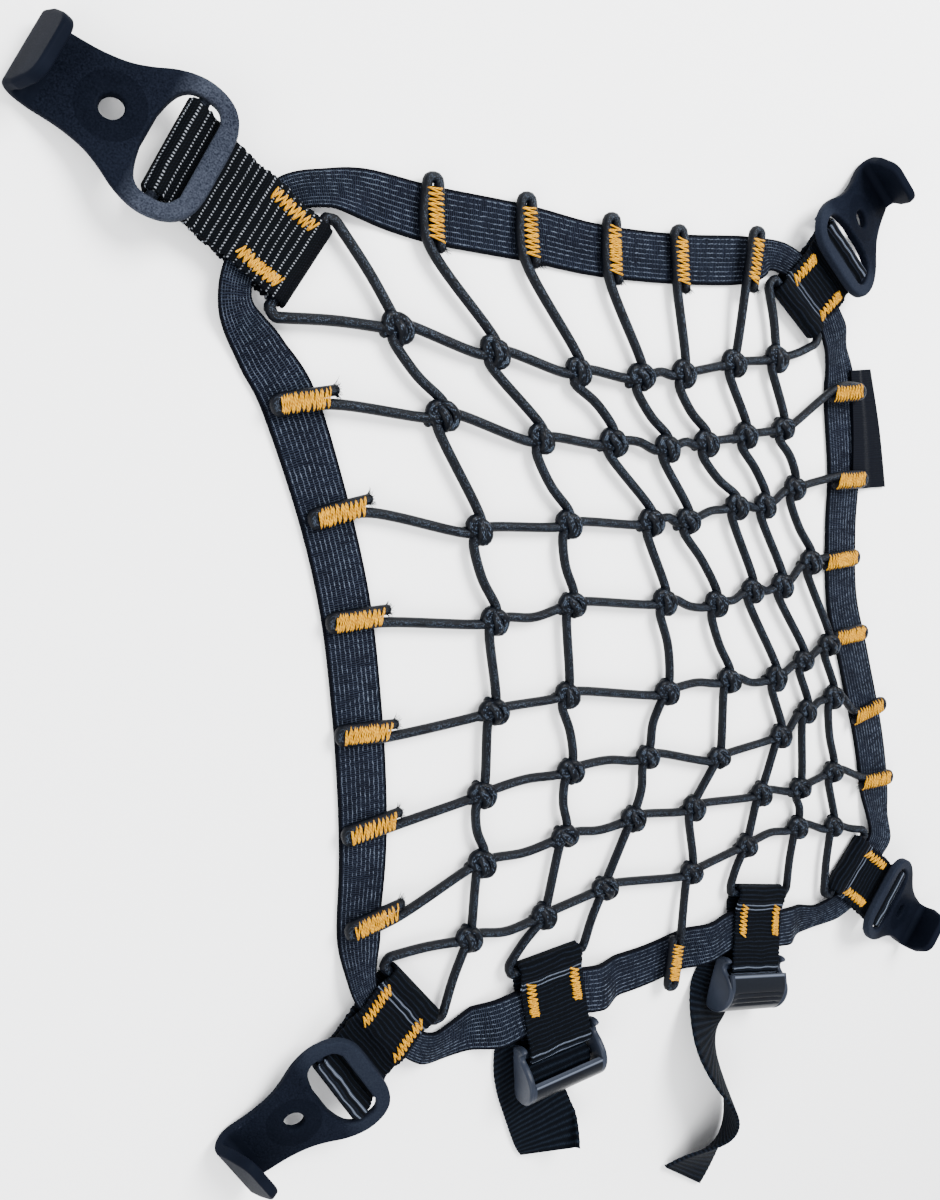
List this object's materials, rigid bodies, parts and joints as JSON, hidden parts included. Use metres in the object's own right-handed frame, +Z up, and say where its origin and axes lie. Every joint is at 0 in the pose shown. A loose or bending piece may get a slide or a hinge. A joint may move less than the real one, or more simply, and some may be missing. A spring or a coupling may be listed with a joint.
{
  "type": "elastic cargo net",
  "caption": "Knotted elastic cord net with a webbing border, a hook on a webbing tab at each corner and two buckles with loose straps, lying flat.",
  "frame": {"origin": "on the surface it lies on, below the middle of its overall box", "axes": "+Z up; +Y towards the net's edge without buckles; +X towards the edge with the side label"},
  "size_m": [0.378, 0.3984, 0.023],
  "materials": {
    "net": "braided elastic cord",
    "border": "woven elastic webbing",
    "tab_top_left": "woven elastic webbing",
    "tab_top_right": "woven elastic webbing",
    "tab_bottom_left": "woven elastic webbing",
    "tab_bottom_right": "woven elastic webbing",
    "tab_buckle_left": "woven elastic webbing",
    "tab_buckle_right": "woven elastic webbing",
    "hook_top_left": "fine grained moulding",
    "hook_top_right": "fine grained moulding",
    "hook_bottom_left": "fine grained moulding",
    "hook_bottom_right": "fine grained moulding",
    "buckle_left": "fine grained moulding",
    "buckle_right": "fine grained moulding",
    "strap_left": "woven elastic webbing",
    "strap_right": "woven elastic webbing",
    "side_label": "woven satin"
  },
  "bodies": {
    "root": {"net": "net", "border": "border", "tab_top_left": "tab_top_left", "tab_top_right": "tab_top_right", "tab_bottom_left": "tab_bottom_left", "tab_bottom_right": "tab_bottom_right", "tab_buckle_left": "tab_buckle_left", "tab_buckle_right": "tab_buckle_right", "hook_top_left": "hook_top_left", "hook_top_right": "hook_top_right", "hook_bottom_left": "hook_bottom_left", "hook_bottom_right": "hook_bottom_right", "buckle_left": "buckle_left", "buckle_right": "buckle_right", "strap_left": "strap_left", "strap_right": "strap_right", "side_label": "side_label"}
  },
  "joints": []
}
